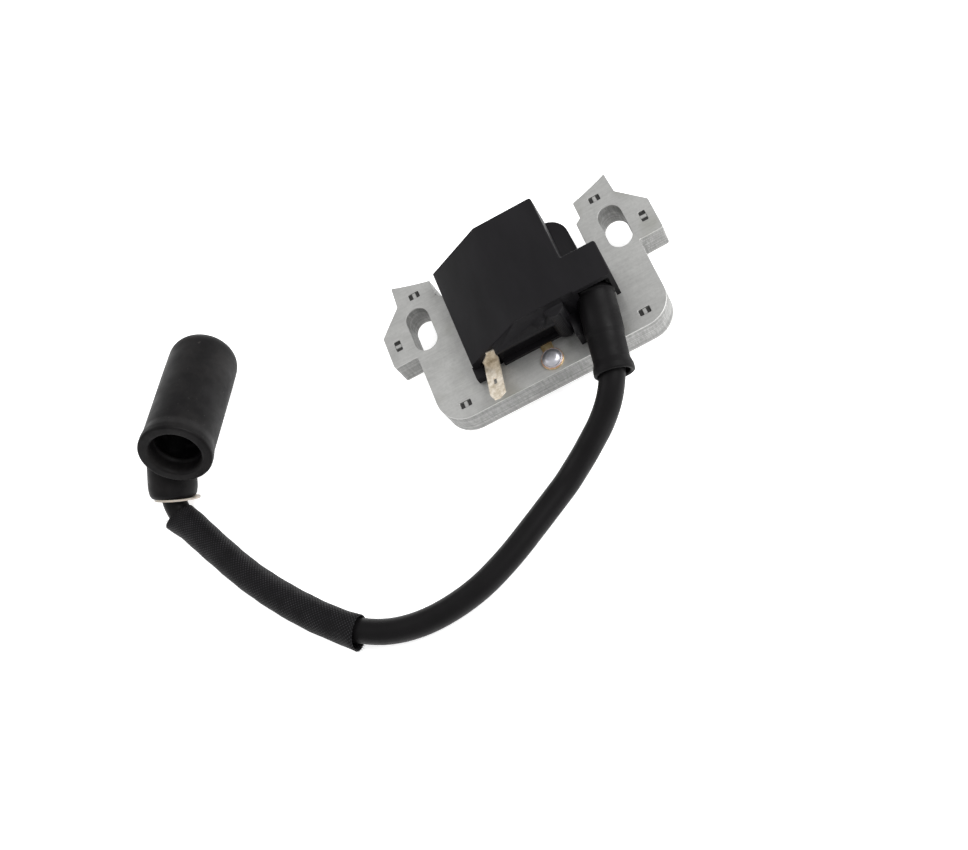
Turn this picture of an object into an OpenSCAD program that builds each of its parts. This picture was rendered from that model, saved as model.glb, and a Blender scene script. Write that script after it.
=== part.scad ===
// Flywheel-magneto ignition coil: laminated core, potted coil module, high-voltage lead and plug cap.
// Frame: X along the core's yoke, Y from the yoke towards the flywheel, Z up from the surface it lies on.

/* [Core] */
// Width over the two outer legs
core_width = 68; // [66:0.5:72]
// Width over the two mounting ears
ear_width = 82.4; // [80:0.2:86]
// Thickness of the whole stack of sheets
core_thickness = 9; // [8:0.5:10]
// Thickness of the first and the last sheet
sheet = 0.5; // [0.35:0.05:0.6]
// Height of the core's back face above the surface
core_back = 5.3; // [5:0.1:6]
// Width of the yoke, along Y
yoke_width = 10; // [9:0.5:11]
// Width of an outer leg
leg_width = 13.1; // [12:0.1:14]
// Width of the centre leg, which carries the windings
centre_leg = 9; // [8:0.2:9.2]
// Radius of the yoke's outer corners
yoke_corner = 8; // [5:0.5:9]
// Radius of the flywheel rim that the pole faces follow
flywheel_radius = 89.5; // [85:0.5:95]

/* [Mounting slots] */
// Distance between the two slots
slot_spacing = 60; // [58:0.5:62]
// Slot width, for an M6 screw
slot_width = 6.8; // [6.4:0.1:7]
// Slot length, end to end
slot_length = 13.8; // [12:0.2:15]

/* [Coil housing] */
// Height of the housing's roof above the surface
roof_height = 29.7; // [29:0.1:31]
// Wall thickness
wall = 1.5; // [1.2:0.1:1.8]
// Length of the housing along Y
housing_length = 31.9; // [31:0.1:33]

/* [High-voltage lead] */
// Outside diameter of the lead
lead_diameter = 7; // [6.6:0.1:7.2]
// Outside diameter of the woven sleeve
sleeve_diameter = 9.4; // [9:0.1:9.6]
// Turn of the lead boot towards the left, in degrees
boot_yaw = 12; // [8:1:14]
// Dip of the lead boot towards the surface, in degrees
boot_dip = 8; // [6:1:8]

/* [Plug cap] */
// Outside diameter of the cap
cap_diameter = 21.1; // [20:0.1:22]
// Length of the cap from its mouth to its closed end
cap_length = 44.2; // [42:0.2:46]
// Diameter of the mouth that goes over the spark plug
cap_bore = 14.2; // [13:0.1:15]
// Outside diameter of the cap's neck
neck_diameter = 14.2; // [13.6:0.1:14.6]

/* [Hidden] */
$fn = 64;

// Colours
zinc_steel = "#a9a9a6";
black_plastic = "#242326";
black_rubber = "#2b2b2d";
bobbin_plastic = "#d8cfb8";
copper = "#b5713c";
resin = "#1b1a1c";
tin = "#cfc8ba";
brass = "#d7b877";
board_green = "#2f6b3d";
bushing_cream = "#d9cbb0";

// Clearance between pieces that only just touch, and overlap that makes a cut clean
gap = 0.1;
cut = 1;

// Core: front face, flywheel centre and the Y of its main edges
core_front = core_back + core_thickness;
core_mid = core_back + core_thickness / 2;
yoke_y = -18.6;
yoke_inner = yoke_y + yoke_width;
slot_y = 13;
leg_inner = core_width / 2 - leg_width;
ear_bottom = 5.6;
ear_top = 15.9;
notch = [34.2, 23.1];
horn_x = 33.8;
foot_step = [22.6, 20.6];
pole_gap_y = 23.1;
flywheel_y = pole_gap_y + flywheel_radius;

// Interlock stakes: centre and turn of each, on the right half, and the size of one
stakes = [[26.6, -14.5, 0], [28.4, 23.9, 0], [37.9, 11.6, 90]];
stake_size = [3.2, 1.9];

// Ground rivet
rivet = [-0.5, -14.6];
rivet_shank = 1.6;

// Housing: Y of its ends, its corners in the X-Z section, and its parts
housing_y0 = -8.1;
housing_y1 = housing_y0 + housing_length;
housing_left = -20.3;
housing_right = 18.1;
box_right = 13.5;
shoulder_z = 19.8;
fold_x = -3.9;
base_top = core_front + 1.4;
base_corner = 6;
front_floor = core_front + gap;
roof_under = roof_height - wall;

// Hood over the lead boot: its right side, inner wall and back
hood_right = 23.4;
hood_wall = 1.2;
hood_y0 = -8.6;
hood_y1 = 2.6;
bulkhead_y = -4.2;

// Lower wall over the yoke, with its round boss and latch tongue
apron_x = [-12.6, 8.8];
apron_y = -10.9;
apron_z = [21.5, 23.4, 24.6];
plinth_y = -9.8;
boss = [6.3, -8.7];
boss_r = 2.7;
tongue = [1.3, -8.9];
tongue_w = 4.2;

// Cradle under the boot and the snap foot
cradle_low = [8.2, -14.9];
cradle_top = 19.8;
foot_x = [-20.9, -18.2];
foot_y = -11;
foot_height = 2.5;

// Recess in the front wall that the stop terminal comes out of
recess_x = [-18.1, -12.6];
recess_z = [18.4, 21.8];
recess_depth = 1.1;

// Windings: square sections centred on the core's middle, and their ends along Y
coil_y = [-6.4, 21.6];
passage = centre_leg + 0.2;
primary_tube = passage + 1.6;
primary_flange = 13.8;
primary_outer = 13.4;
secondary_tube_in = 14;
secondary_tube = 15.6;
secondary_flange = 18.4;
secondary_outer = 17.8;
secondary_y = [-4.6, 19.8];
divider = 0.7;
dividers = 7;

// Circuit board and what stands on it
board_z = 21.6;
board_t = 1.2;
board_x = [-9.5, 10.5];
board_y = [-5.4, 20.4];

// Lead boot: centre of its upper end, and its length
boot_top = [17.5, -6.2, 21.7];
boot_length = 23.7;
boot_stub = 8;
lead_start = 12;

// Plug cap: centre of its mouth, its turn and its rise; the knee and the end of its neck
cap_mouth = [-105.6, 7.4, 25.6];
cap_yaw = 15.4;
cap_rise = 24.3;
cap_edge = 7;
bore_depth = 23;
pocket_depth = 34;
pocket_r = 4.2;
clip_length = pocket_depth - bore_depth;
knee = [-112.6, 16.6, 12.8];
neck_end = [-118, 6.4, 7.2];
neck_join_depth = 36;
flange_shift = [1.1, 0, -0.3];
elbow_run = 3.2;
neck_join = cap_mouth + neck_join_depth * cap_back();
knee_depth = (knee - cap_mouth) * cap_back();
link_r = 1.1;
link_depth = 33.5;
link_end = cap_mouth + link_depth * cap_back()
    + (pocket_r + link_r) * unit(knee - cap_mouth - knee_depth * cap_back());

// Route of the lead's centreline, from inside the boot to inside the cap's neck
lead_route = [
    [15.1, -17.8, 20], [13.8, -23.6, 19.2], [12.5, -27.5, 18.4], [10.6, -30.6, 17.1],
    [8.4, -33, 15.3], [5.8, -34.9, 13.1], [2.8, -36.5, 10.6], [-0.8, -38.1, 8.2],
    [-4.6, -39.9, 6.1], [-8.5, -41.8, 4.6], [-12, -43.7, 3.8], [-16, -45.8, 3.6],
    [-24, -50.1, 3.6], [-33.4, -54.9, 3.6], [-43.5, -58.8, 3.6], [-53.3, -60.6, 3.6],
    [-62.3, -60.7, 3.8], [-70.6, -59, 4.3], [-78.2, -55.2, 4.8], [-85.6, -49, 4.8],
    [-94.6, -38.6, 4.8], [-103.3, -26.4, 4.8], [-110.6, -13.6, 4.8], [-115.2, -4.8, 4.8],
    [-117.3, -0.6, 4.8], [-118.3, 2.8, 5.5], [-118, 6.4, 7.2], [-115.9, 10.3, 9.3], [-113.2, 15.5, 12.2],
];
route_steps = 2;
lead_path = smooth(lead_route, route_steps);
sleeve_from = 18 * route_steps;
sleeve_to = 24 * route_steps + 1;
lead_sides = 12;

// ---------- functions ----------

// Points of an arc about a centre, from angle a0 to angle a1
function arc(centre, r, a0, a1, steps = 8) =
    [for (i = [0:steps]) centre + r * [cos(a0 + (a1 - a0) * i / steps), sin(a0 + (a1 - a0) * i / steps)]];

// Mirror image of an outline across X = 0, in reverse order
function mirrored(points) = [for (i = [len(points) - 1:-1:0]) [-points[i].x, points[i].y]];

function unit(v) = v / norm(v);

// Direction from the cap's mouth to its closed end
function cap_back() = [
    sin(cap_yaw) * cos(cap_rise), cos(cap_yaw) * cos(cap_rise), -sin(cap_rise),
];

// One point of a smooth curve through four neighbours, at share t between the middle two
function between(a, b, c, d, t) =
    0.5 * (2 * b + (c - a) * t + (2 * a - 5 * b + 4 * c - d) * t * t + (3 * b - a - 3 * c + d) * t * t * t);

// A finer list of points on the smooth curve through a route
function smooth(p, steps) = let (last = len(p) - 1) concat(
    [for (i = [0:last - 1], k = [0:steps - 1])
        between(p[max(i - 1, 0)], p[i], p[i + 1], p[min(i + 2, last)], k / steps)],
    [p[last]]
);

// Direction of a path at its point i
function heading(path, i) = unit(path[min(i + 1, len(path) - 1)] - path[max(i - 1, 0)]);

// Ring of points about point i of a path
function ring(path, i, r, sides) = let (
    t = heading(path, i),
    side = unit(cross(t, [0, 0, 1])),
    up = cross(side, t)
) [for (k = [0:sides - 1]) path[i] + r * (cos(360 * k / sides) * side + sin(360 * k / sides) * up)];

// Two triangles on the corners a, b, c, d of a four-sided face
function quad(a, b, c, d) = [[a, b, c], [a, c, d]];

// ---------- building blocks ----------

// Solid tube swept along a path from its point i0 to its point i1
module swept_rod(path, i0, i1, r, sides) {
    n = i1 - i0;
    points = [for (i = [i0:i1]) each ring(path, i, r, sides)];
    walls = [for (i = [0:n - 1], k = [0:sides - 1]) let (m = (k + 1) % sides)
        each quad(i * sides + k, i * sides + m, (i + 1) * sides + m, (i + 1) * sides + k)];
    ends = [
        [for (k = [sides - 1:-1:0]) k],
        [for (k = [0:sides - 1]) n * sides + k],
    ];
    polyhedron(points = points, faces = concat(walls, ends), convexity = 10);
}

// Hollow tube swept along a path from its point i0 to its point i1
module swept_tube(path, i0, i1, r_out, r_in, sides) {
    n = i1 - i0;
    inner = (n + 1) * sides;
    points = [for (r = [r_out, r_in], i = [i0:i1]) each ring(path, i, r, sides)];
    outside = [for (i = [0:n - 1], k = [0:sides - 1]) let (m = (k + 1) % sides)
        each quad(i * sides + k, i * sides + m, (i + 1) * sides + m, (i + 1) * sides + k)];
    inside = [for (i = [0:n - 1], k = [0:sides - 1]) let (m = (k + 1) % sides, a = inner + i * sides)
        each quad(a + m, a + k, a + sides + k, a + sides + m)];
    start = [for (k = [0:sides - 1]) let (m = (k + 1) % sides)
        each quad(m, k, inner + k, inner + m)];
    finish = [for (k = [0:sides - 1]) let (m = (k + 1) % sides, a = n * sides)
        each quad(a + k, a + m, inner + a + m, inner + a + k)];
    polyhedron(points = points, faces = concat(outside, inside, start, finish), convexity = 10);
}

// Box between two opposite corners
module block(low, high) {
    translate(low) cube(high - low);
}

// Square bar or tube along Y about the core's middle; size_in = 0 makes it solid
module square_tube(size_out, size_in, y0, y1) {
    translate([0, y1, core_mid]) rotate([90, 0, 0]) linear_extrude(y1 - y0) difference() {
        square(size_out, center = true);
        if (size_in > 0)
            square(size_in, center = true);
    }
}

// Places its children with +Z along the lead boot and the origin at its upper end
module along_boot() {
    translate(boot_top) rotate([0, 90 + boot_dip, -90 - boot_yaw]) children();
}

// Places its children with +Z from the cap's mouth towards its closed end
module along_cap() {
    translate(cap_mouth) rotate([0, 90 + cap_rise, 90 - cap_yaw]) children();
}

// Places its children with +Z from one point towards another
module towards(from, to) {
    d = to - from;
    translate(from) rotate([0, acos(d.z / norm(d)), atan2(d.y, d.x)]) children();
}

// ---------- core ----------

// Outline of one core sheet: an E with three legs and two mounting ears
module core_outline() {
    half = core_width / 2;
    right = concat(
        arc([half - yoke_corner, yoke_y + yoke_corner], yoke_corner, -90, 0),
        [[half, ear_bottom], [ear_width / 2 - 0.6, ear_bottom], [ear_width / 2, ear_bottom + 0.6]],
        [[ear_width / 2, ear_top], notch, [horn_x, 32], [foot_step.x, 32]],
        [foot_step, [leg_inner, foot_step.y - 1.2], [leg_inner, yoke_inner]],
        [[centre_leg / 2, yoke_inner], [centre_leg / 2, 25]]
    );
    difference() {
        polygon(concat(right, mirrored(right)));
        translate([0, flywheel_y])
            circle(flywheel_radius, $fn = 240);
        for (side = [-1, 1])
            translate([side * slot_spacing / 2, slot_y])
                mounting_slot();
        translate(rivet)
            circle(rivet_shank);
    }
}

module mounting_slot() {
    straight = slot_length - slot_width;
    square([slot_width, straight], center = true);
    for (end = [-1, 1])
        translate([0, end * straight / 2])
            circle(d = slot_width);
}

// The six stake marks of a sheet, as a flat shape
module stake_marks() {
    for (side = [-1, 1], s = stakes)
        translate([side * s.x, s.y])
            rotate(s.z)
                square(stake_size, center = true);
}

module core_front_sheet() {
    color(zinc_steel)
    translate([0, 0, core_front - sheet])
        linear_extrude(sheet)
            difference() {
                core_outline();
                stake_marks();
            }
}

module core_sheet_stack() {
    color(zinc_steel)
    translate([0, 0, core_back + sheet])
        linear_extrude(core_thickness - 2 * sheet)
            core_outline();
}

module core_back_sheet() {
    color(zinc_steel)
    translate([0, 0, core_back])
        linear_extrude(sheet)
            difference() {
                core_outline();
                stake_marks();
            }
}

// ---------- housing ----------

// Section of the front box in X and Z, moved in by the given inset
module box_section(inset) {
    slope = unit([fold_x - housing_left, roof_height - shoulder_z]);
    lift = inset * (1 - slope.x) / slope.y;
    polygon([
        [housing_left + inset, 0],
        [housing_left + inset, shoulder_z - lift],
        [fold_x + inset * slope.y / (1 + slope.x), roof_height - inset],
        [box_right - inset, roof_height - inset],
        [box_right - inset, 0],
    ]);
}

// Bar along Y with the front box's section, above the height z0
module box_bar(inset, y0, y1, z0) {
    difference() {
        translate([0, y1, 0]) rotate([90, 0, 0]) linear_extrude(y1 - y0) box_section(inset);
        block([housing_left - cut, y0 - cut, -cut], [box_right + cut, y1 + cut, z0]);
    }
}

// Plan of the base between the legs, moved in by the given inset
module base_plan(inset) {
    r = base_corner - inset;
    x1 = housing_right - inset - r;
    y0 = housing_y0 + inset;
    y1 = housing_y1 - inset;
    polygon(concat(
        [[housing_left + inset, y0]],
        arc([x1, y0 + r], r, -90, 0),
        arc([x1, y1 - r], r, 0, 90),
        [[housing_left + inset, y1]]
    ));
}

// The space that the resin fills, coil and board included
module cavity() {
    translate([0, 0, -cut])
        linear_extrude(base_top - wall + cut)
            base_plan(wall);
    box_bar(wall, housing_y0 + wall, housing_y1 - wall, base_top - wall - cut);
    block([box_right - wall - cut, bulkhead_y + wall, core_front + 3],
          [hood_right - hood_wall, hood_y1 - wall, roof_under]);
}

// Bar along X with a section in Y and Z
module bar_x(section, x0, x1) {
    translate([x0, 0, 0]) rotate([90, 0, 90]) linear_extrude(x1 - x0) polygon(section);
}

// Sloped skirt over the yoke with its half-round boss and the latch tongue
module apron() {
    inner_y = housing_y0 + cut / 2;
    top_z = roof_height - 0.5;
    intersection() {
        bar_x([
            [inner_y, apron_z[0]], [inner_y, top_z], [housing_y0, top_z],
            [apron_y, apron_z[2]], [apron_y, apron_z[1]], [housing_y0 - 0.3, apron_z[0]],
        ], apron_x[0], apron_x[1]);
        box_bar(0.2, apron_y - cut, inner_y + cut, 0);
    }
    block([apron_x[0], plinth_y, front_floor], [apron_x[1], inner_y, front_floor + 1]);
    translate([boss.x, boss.y, front_floor + 1])
        cylinder(r = boss_r, h = roof_height - 1.5 - front_floor - 1);
    translate([tongue.x, tongue.y, apron_z[2] - 1])
        cylinder(d = tongue_w, h = 3.4);
    block([tongue.x - tongue_w / 2, tongue.y, apron_z[2] - 1],
          [tongue.x + tongue_w / 2, inner_y, apron_z[2] + 2.4]);
}

// Cradle that the boot lies in, on the yoke
module cradle() {
    difference() {
        block([cradle_low.x, cradle_low.y, front_floor], [hood_right - 4, housing_y0 + cut / 2, cradle_top]);
        along_boot()
            translate([0, 0, -2])
                cylinder(r = 5.55, h = boot_length);
    }
}

module hood() {
    block([box_right - cut, bulkhead_y, front_floor], [hood_right, hood_y1, roof_height]);
    block([box_right - cut, hood_y0, roof_under], [hood_right, bulkhead_y + cut, roof_height]);
    block([hood_right - hood_wall, hood_y0, front_floor + 3.6],
          [hood_right, bulkhead_y + cut, roof_height]);
}

// Space in the front wall round the stop terminal, under a lip that follows the roof's slope
module terminal_recess() {
    translate([0, housing_y0 + recess_depth, 0]) rotate([90, 0, 0]) linear_extrude(recess_depth + cut)
        polygon([
            [recess_x[0], front_floor - cut], [recess_x[0], recess_z[0]],
            [recess_x[1], recess_z[1]], [recess_x[1], front_floor - cut],
        ]);
}

module coil_housing() {
    color(black_plastic)
    difference() {
        union() {
            linear_extrude(base_top)
                base_plan(0);
            box_bar(0, housing_y0, housing_y1, front_floor);
            apron();
            hood();
            cradle();
            block([foot_x[0], foot_y, front_floor], [foot_x[1], housing_y0 + cut, front_floor + foot_height]);
            along_boot()
                translate([0, 0, -3])
                    cylinder(r = lead_diameter / 2 - 0.05, h = boot_stub + 3);
        }
        cavity();
        terminal_recess();
        square_tube(passage, 0, housing_y0 - cut, housing_y1 + cut);
        along_boot()
            translate([0, 0, -6])
                cylinder(r = 1.05, h = boot_stub + 7, $fn = 32);
        kill_blade(gap / 2);
        block([rivet.x - 1.6 - gap / 2, apron_y - cut, front_floor - cut],
              [rivet.x + 1.6 + gap / 2, housing_y0 + wall + cut, core_front + 0.45]);
    }
}

module potting_compound() {
    color(resin)
    difference() {
        intersection() {
            cavity();
            block([-30, -20, 0.4], [30, 30, roof_height]);
        }
        square_tube(primary_tube, 0, housing_y0 - cut, housing_y1 + cut);
        square_tube(primary_flange, 0, coil_y[0], coil_y[1]);
        square_tube(secondary_flange, 0, secondary_y[0], secondary_y[1]);
        board_space();
        kill_blade(gap / 2);
        block([rivet.x - 1.7, housing_y0, front_floor - cut],
              [rivet.x + 1.7, housing_y0 + wall + 1.3, core_front + 0.5]);
        along_boot()
            translate([0, 0, -6])
                cylinder(r = 1.05, h = 6, $fn = 32);
        secondary_lead_path(gap / 2);
        primary_lead_paths(gap / 2);
    }
}

// ---------- windings ----------

module primary_bobbin() {
    color(bobbin_plastic) {
        square_tube(primary_tube, passage, housing_y0 + wall, housing_y1 - wall);
        for (y = [coil_y[0], coil_y[1] - 1])
            square_tube(primary_flange, passage, y, y + 1);
    }
}

module primary_winding() {
    color(copper)
        square_tube(primary_outer, primary_tube, coil_y[0] + 1, coil_y[1] - 1);
}

module secondary_bobbin() {
    pitch = (secondary_y[1] - secondary_y[0] - divider) / (dividers - 1);
    color(bobbin_plastic) {
        square_tube(secondary_tube, secondary_tube_in, secondary_y[0], secondary_y[1]);
        for (i = [0:dividers - 1])
            square_tube(secondary_flange, secondary_tube_in,
                secondary_y[0] + i * pitch, secondary_y[0] + i * pitch + divider);
    }
}

module secondary_winding() {
    pitch = (secondary_y[1] - secondary_y[0] - divider) / (dividers - 1);
    color(copper)
        for (i = [0:dividers - 2])
            square_tube(secondary_outer, secondary_tube,
                secondary_y[0] + i * pitch + divider, secondary_y[0] + (i + 1) * pitch);
}

// Wires from the primary's two ends up to the board
module primary_lead_paths(grow) {
    for (x = [-6, 6])
        translate([x, coil_y[0] + 0.6, core_mid + primary_flange / 2])
            cylinder(r = 0.4 + grow, h = board_z - core_mid - primary_flange / 2, $fn = 16);
}

module primary_leads() {
    color(copper)
        primary_lead_paths(0);
}

// Wire from the secondary's live end to the contact pin
module secondary_lead_path(grow) {
    towards([9.2 + gap, 0, core_mid + 3], secondary_lead_end)
        cylinder(r = 0.4 + grow, h = norm(secondary_lead_end - [9.2 + gap, 0, core_mid + 3]), $fn = 16);
}

secondary_lead_end = [17.6, -1.2, 21];

module secondary_lead() {
    color(copper)
        secondary_lead_path(0);
}

// ---------- electronics ----------

module board_space() {
    block([board_x[0], board_y[0], board_z], [board_x[1], board_y[1], board_z + board_t]);
    for (part = [transistor_box, chip_box])
        block([part[0].x, part[0].y, board_z + board_t], part[1]);
    for (c = resistor_centres)
        component(c, resistor_size);
    for (c = capacitor_centres)
        component(c, capacitor_size);
}

transistor_box = [[-3, 8], [6, 18, board_z + board_t + 4]];
chip_box = [[-1, -1.5], [4, 3.5, board_z + board_t + 1.6]];
resistor_size = [1.6, 3.2, 0.7];
resistor_centres = [[-6, 2], [-6, 7], [8, -3], [8, 2], [8, 7]];
capacitor_size = [2.6, 3.4, 2];
capacitor_centres = [[-6, 12], [8, 12.5]];

// Small chip part on the board, by its centre and size
module component(centre, size) {
    translate([centre.x - size.x / 2, centre.y - size.y / 2, board_z + board_t])
        cube(size);
}

module circuit_board() {
    color(board_green)
        block([board_x[0], board_y[0], board_z], [board_x[1], board_y[1], board_z + board_t]);
}

module switching_transistor() {
    color(black_plastic)
        block([transistor_box[0].x, transistor_box[0].y, board_z + board_t], transistor_box[1]);
}

module trigger_chip() {
    color(black_plastic)
        block([chip_box[0].x, chip_box[0].y, board_z + board_t], chip_box[1]);
}

module board_resistors() {
    color(black_plastic)
        for (c = resistor_centres)
            component(c, resistor_size);
}

module board_capacitors() {
    color("#b98a4a")
        for (c = capacitor_centres)
            component(c, capacitor_size);
}

// ---------- terminals ----------

blade_x = -15.3;
blade_w = 4.2;
blade_t = 0.8;
blade_y = housing_y0 - 0.3;
blade_fold_z = 16.5;
blade_top = 22.4;
blade_rise = 15;
blade_turn = 7;
blade_length = 13.4;

// Upright and tail of the stop terminal, grown a little where it is moulded in
module kill_blade(grow) {
    left = blade_x - blade_w / 2 - grow;
    right = blade_x + blade_w / 2 + grow;
    lean = 0.4;
    top = blade_top + grow;
    translate([0, blade_y + blade_t + grow, 0]) rotate([90, 0, 0]) linear_extrude(blade_t + 2 * grow)
        polygon([
            [left, blade_fold_z], [left, blade_fold_z + 2.4], [left + 2.8, top],
            [right + lean, top], [right, blade_fold_z],
        ]);
    block([right - 2, blade_y, top - blade_t - 2 * grow],
          [right + lean, housing_y0 + wall + 2 + grow, top]);
}

module kill_terminal() {
    w = blade_w / 2;
    color(tin) {
        kill_blade(0);
        translate([blade_x, blade_y + blade_t / 2, blade_fold_z])
            rotate([180 - blade_rise, 0, -blade_turn])
                mirror([0, 0, 1])
                    linear_extrude(blade_t)
                        difference() {
                            polygon([
                                [-w, 0], [-w, blade_length - 1.6], [-w + 0.9, blade_length],
                                [w - 1.8, blade_length], [w, blade_length - 1.4], [w, 0],
                            ]);
                            translate([0, blade_length * 0.56])
                                square([0.9, 2.4], center = true);
                        }
    }
}

module ground_strap() {
    color(brass)
    translate([0, 0, core_front])
        linear_extrude(0.4)
            difference() {
                union() {
                    translate(rivet)
                        circle(r = 3.1);
                    translate([rivet.x - 1.6, rivet.y])
                        square([3.2, housing_y0 + wall + 1 - rivet.y]);
                }
                translate(rivet)
                    circle(rivet_shank);
            }
}

module ground_rivet() {
    color("#c9c9cb")
    translate([rivet.x, rivet.y, 0])
        rotate_extrude()
            polygon(concat(
                [[0, core_back - 0.9], [2.6, core_back - 0.9], [2.8, core_back]],
                [[rivet_shank - 0.02, core_back], [rivet_shank - 0.02, core_front + 0.4]],
                [[3.1, core_front + 0.4], [3.1, core_front + 0.7]],
                arc([0, core_front - 1.2], 3.2, 36.5, 90)
            ));
}

module lead_contact_pin() {
    color(brass)
    along_boot()
        translate([0, 0, -4.6])
            cylinder(r = 1, h = 4.6 + lead_start - gap, $fn = 32);
}

// ---------- lead ----------

module lead_boot() {
    color(black_rubber)
    along_boot()
        rotate_extrude()
            polygon([
                [lead_diameter / 2, 0], [5, 0], [5.3, 0.5], [5.3, 12.6], [4.95, 13.6], [4.85, 20.8],
                [5.3, 21.8], [5.4, 23], [5.2, boot_length], [lead_diameter / 2 + 0.5, boot_length],
                [lead_diameter / 2 + 0.1, boot_length - 5], [lead_diameter / 2 + 0.1, boot_stub],
                [lead_diameter / 2, boot_stub],
            ]);
}

module ignition_lead() {
    color(black_rubber)
        swept_rod(lead_path, 0, len(lead_path) - 1, lead_diameter / 2, lead_sides);
}

module woven_sleeve() {
    color("#1d1d1f")
        swept_tube(lead_path, sleeve_from, sleeve_to, sleeve_diameter / 2, lead_diameter / 2 + 0.15, lead_sides);
}

// ---------- plug cap ----------

module plug_cap() {
    r = cap_diameter / 2;
    color(black_rubber)
    difference() {
        union() {
            along_cap()
                rotate_extrude()
                    polygon(concat(
                        [[0, 0], [r, 0]],
                        arc([r - cap_edge, cap_length - cap_edge], cap_edge, 0, 90),
                        [[0, cap_length]]
                    ));
            towards(knee, neck_join)
                translate([0, 0, -elbow_run])
                    cylinder(d = neck_diameter - 0.4, h = norm(neck_join - knee) + elbow_run);
            towards(neck_end, knee)
                cylinder(d = neck_diameter, h = norm(knee - neck_end) + elbow_run);
        }
        along_cap() {
            translate([0, 0, -cut])
                cylinder(d = cap_bore, h = bore_depth + cut);
            cylinder(r = pocket_r, h = pocket_depth);
        }
        towards(neck_end, knee) {
            translate([0, 0, -3])
                cylinder(r = lead_diameter / 2 + 0.4, h = norm(knee - neck_end) + 3);
            translate([0, 0, -1])
                cylinder(r = 5.6, h = 3);
        }
        towards(knee, link_end)
            cylinder(r = link_r + 0.1, h = norm(link_end - knee));
    }
}

// Cream bushing that centres the lead in the neck; its flange sits off centre
module cap_bushing() {
    color(bushing_cream)
    difference() {
        union() {
            towards(neck_end, knee)
                translate([0, 0, -0.5])
                    cylinder(r = 5.5, h = 2.5);
            translate(flange_shift)
                towards(neck_end, knee)
                    translate([0, 0, -0.6])
                        cylinder(r = 6.6, h = 0.6 - gap);
        }
        towards(neck_end, knee)
            translate([0, 0, -2])
                cylinder(r = lead_diameter / 2 + 0.5, h = 5);
    }
}

// Metal link from the lead's conductor to the plug clip
module cap_link() {
    color(brass)
    towards(knee, link_end)
        translate([0, 0, 0.4])
            cylinder(r = link_r, h = norm(link_end - knee) - 0.5, $fn = 32);
}

// Spring clip that snaps on the spark plug's terminal nut
module plug_clip() {
    color(tin)
    along_cap()
        translate([0, 0, bore_depth])
            rotate_extrude()
                polygon([
                    [3.2, 0], [4, 0], [3.4, 1.6], [4.1, 3], [4.1, clip_length], [0, clip_length],
                    [0, clip_length - 0.8], [3.3, clip_length - 0.8], [3.3, 3.2], [2.7, 1.6],
                ]);
}

core_front_sheet();
core_sheet_stack();
core_back_sheet();
coil_housing();
potting_compound();
primary_bobbin();
primary_winding();
secondary_bobbin();
secondary_winding();
primary_leads();
secondary_lead();
circuit_board();
switching_transistor();
trigger_chip();
board_resistors();
board_capacitors();
kill_terminal();
ground_strap();
ground_rivet();
lead_contact_pin();
lead_boot();
ignition_lead();
woven_sleeve();
plug_cap();
cap_bushing();
cap_link();
plug_clip();
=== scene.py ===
"""Flywheel-magneto ignition coil with its sleeved high-voltage lead and rubber plug cap.

Lengths in this file are millimetres in the row frame unless a name says otherwise.
"""
import random
from math import cos, pi, radians, sin, sqrt

import bmesh
import bpy
from mathutils import Euler, Matrix, Vector


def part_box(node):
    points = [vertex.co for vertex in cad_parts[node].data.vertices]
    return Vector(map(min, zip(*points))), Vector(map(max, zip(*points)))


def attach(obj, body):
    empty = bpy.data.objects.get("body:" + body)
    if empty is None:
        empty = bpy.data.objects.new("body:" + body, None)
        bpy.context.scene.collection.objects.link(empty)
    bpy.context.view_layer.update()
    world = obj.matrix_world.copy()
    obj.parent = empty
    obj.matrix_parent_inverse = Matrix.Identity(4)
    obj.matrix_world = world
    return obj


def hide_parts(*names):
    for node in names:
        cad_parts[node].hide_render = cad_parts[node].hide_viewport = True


bl_info = {
    "name": "Ignition Coil",
    "version": (1, 0, 0),
    "blender": (4, 5, 0),
    "location": "View3D > Sidebar > Coil",
    "description": "Builds a flywheel-magneto ignition coil with its lead and plug cap",
    "category": "Add Mesh",
}

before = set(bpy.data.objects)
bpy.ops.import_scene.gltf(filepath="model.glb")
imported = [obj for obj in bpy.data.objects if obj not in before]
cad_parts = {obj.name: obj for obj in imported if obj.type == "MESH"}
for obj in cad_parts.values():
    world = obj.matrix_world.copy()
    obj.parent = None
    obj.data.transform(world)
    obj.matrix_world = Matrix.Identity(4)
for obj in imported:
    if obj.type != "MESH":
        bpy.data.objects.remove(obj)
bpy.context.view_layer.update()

MM = 0.001
CORE = [Vector(corner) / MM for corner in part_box("core_sheet_stack")]
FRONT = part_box("core_front_sheet")[1][2] / MM
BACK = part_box("core_back_sheet")[0][2] / MM

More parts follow.
